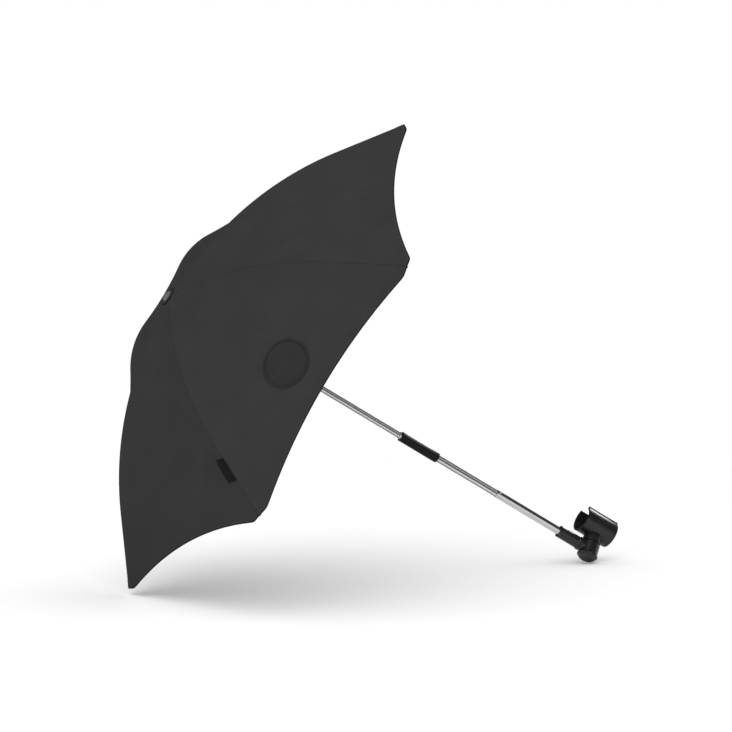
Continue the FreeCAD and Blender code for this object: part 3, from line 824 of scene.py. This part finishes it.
# Floor: the parasol lies on the rim of its canopy and on the clamp's knob, so the white table is a plane
# through those two, seen from above only and fading out round the object.
floor_up = Vector((0.3494, 0.7707, 0.5329)).normalized()
floor_gap = 0.001
floor_reach = 1.5
floor_corners = 96
fade_start, fade_end = 0.75, floor_reach - 0.02
table_white = (0.97, 0.97, 0.97, 1)
pure_white = (1, 1, 1, 1)
lowest = min(
    min(floor_up.dot(vertex.co) for vertex in node.data.vertices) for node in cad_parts.values()
)
object_middle = (Vector(cad_box[0]) + Vector(cad_box[1])) / 2
floor_middle = object_middle - floor_up * (floor_up.dot(object_middle) - lowest + floor_gap)
floor_side = floor_up.orthogonal().normalized() * floor_reach
floor_ahead = floor_up.cross(floor_side)
floor_angles = [2 * math.pi * corner / floor_corners for corner in range(floor_corners)]
floor_points = [
    floor_middle + floor_side * math.cos(angle) + floor_ahead * math.sin(angle) for angle in floor_angles
]
floor_mesh = bpy.data.meshes.new("floor")
floor_mesh.from_pydata(floor_points, [], [range(floor_corners)])
floor = bpy.data.objects.new("floor", floor_mesh)
bpy.context.scene.collection.objects.link(floor)


def table_finish():
    material, wire = new_finish("white_table")
    distance = distance_from(wire, in_metres(wire), tuple(floor_middle))
    behind = wire.node("ShaderNodeNewGeometry", {}, {}, output="Backfacing")
    seen = wire.node("ShaderNodeLightPath", {}, {}, output="Is Camera Ray")
    table = wire.node("ShaderNodeBsdfDiffuse", {}, {"Color": table_white})
    glow = wire.node("ShaderNodeEmission", {}, {"Color": pure_white, "Strength": 0.06})
    glowing = wire.node("ShaderNodeAddShader", {}, {0: table, 1: glow})
    lit = wire.node("ShaderNodeMixShader", {}, {0: seen, 1: table, 2: glowing})
    gone = wire.node("ShaderNodeBsdfTransparent", {}, {})
    cover = (1 - distance.between(fade_start, fade_end)) * (1 - behind)
    close_finish(wire, wire.node("ShaderNodeMixShader", {}, {0: cover, 1: gone, 2: lit}))
    return material


floor_mesh.materials.append(table_finish())


# Light: a white room with a dim ceiling, so that the chrome shows a dark streak above a bright one, and
# two large soft lamps. Two bent rows of small cards give the black sleeve and the clamp a bright upper
# edge, and only these pieces mirror them.
world = bpy.data.worlds.new("studio")
bpy.context.scene.world = world
world.use_nodes = True
world.node_tree.nodes.clear()
wire = Wire(world.node_tree)
camera_ray, glossy_ray, through_ray = [
    wire.node("ShaderNodeLightPath", {}, {}, output=f"Is {kind} Ray")
    for kind in ("Camera", "Glossy", "Transmission")
]
backdrop = camera_ray + through_ray
way = wire.node("ShaderNodeTexCoord", {}, {}, output="Generated")


def towards(aim):
    """How nearly a ray into the room points this way."""
    return wire.node(
        "ShaderNodeVectorMath", {"operation": "DOT_PRODUCT"}, {0: way, 1: tuple(aim)}, output="Value"
    )


mirrored = 1 - 0.93 * towards(floor_up).between(0.02, 0.16)
softbox = (floor_up * 0.7 - forward * 0.71).normalized()
overhead = 0.88 + 0.30 * towards(softbox).between(0.30, 0.95)
room = backdrop + (1 - backdrop) * (glossy_ray * mirrored + (1 - glossy_ray) * overhead)
sky = wire.node("ShaderNodeBackground", {}, {"Color": pure_white, "Strength": room})
wire.node("ShaderNodeOutputWorld", {}, {"Surface": sky})


def lamp(name, place, aim, width, power):
    data = bpy.data.lights.new(name, "AREA")
    data.shape = "RECTANGLE"
    data.size, data.size_y = width
    data.energy = power
    thing = bpy.data.objects.new(name, data)
    bpy.context.scene.collection.objects.link(thing)
    turn = (aim - place).to_track_quat("-Z", "Y").to_matrix().to_4x4()
    thing.matrix_world = Matrix.Translation(place) @ turn
    return thing


def card(name, mirrors, aim, face, distance, width, brightness):
    """A lamp that only these pieces mirror, where a wall along the shaft faces this many degrees round."""
    outward = Vector((math.cos(math.radians(face)), math.sin(math.radians(face)), 0))
    mirrored_way = -2 * forward.dot(outward) * outward + forward
    power = math.pi * brightness * width[0] * width[1]
    thing = lamp(name, aim + mirrored_way * distance, aim, width, power)
    thing.visible_camera = False
    thing.visible_diffuse = False
    shown_in = bpy.data.collections.new(name)
    for mirror in mirrors:
        shown_in.objects.link(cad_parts[mirror])
    thing.light_linking.receiver_collection = shown_in


key_place = object_middle + floor_up * 1.6 - forward * 1.3
fill_place = object_middle - forward * 2.2 + floor_up * 0.3 - right * 1.2
lamp("key_lamp", key_place, object_middle, width=(1.4, 1.4), power=5.0)
lamp("fill_lamp", fill_place, object_middle, width=(1.2, 1.2), power=1.5)
sleeve_low, sleeve_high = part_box("tilt_sleeve")
sleeve_middle = Vector((shaft_x, shaft_y, (sleeve_low.z + sleeve_high.z) / 2))
for number, face in enumerate((10, 24, 38, 52), 1):
    card(
        f"sleeve_card_{number}", ["tilt_sleeve"], sleeve_middle, face,
        distance=0.20, width=(0.11, 0.050), brightness=6.0
    )
clamp_low, clamp_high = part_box("clip")[0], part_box("shaft_socket")[1]
clamp_middle = Vector((shaft_x, shaft_y / 2, (clamp_low.z + clamp_high.z) / 2))
clamp_card = (0.14, 0.95 * (clamp_high.z - clamp_low.z))
for number, face in enumerate((33, 47), 1):
    card(
        f"clamp_card_{number}", ["clip", "shaft_socket"], clamp_middle, face,
        distance=0.25, width=clamp_card, brightness=6.5
    )
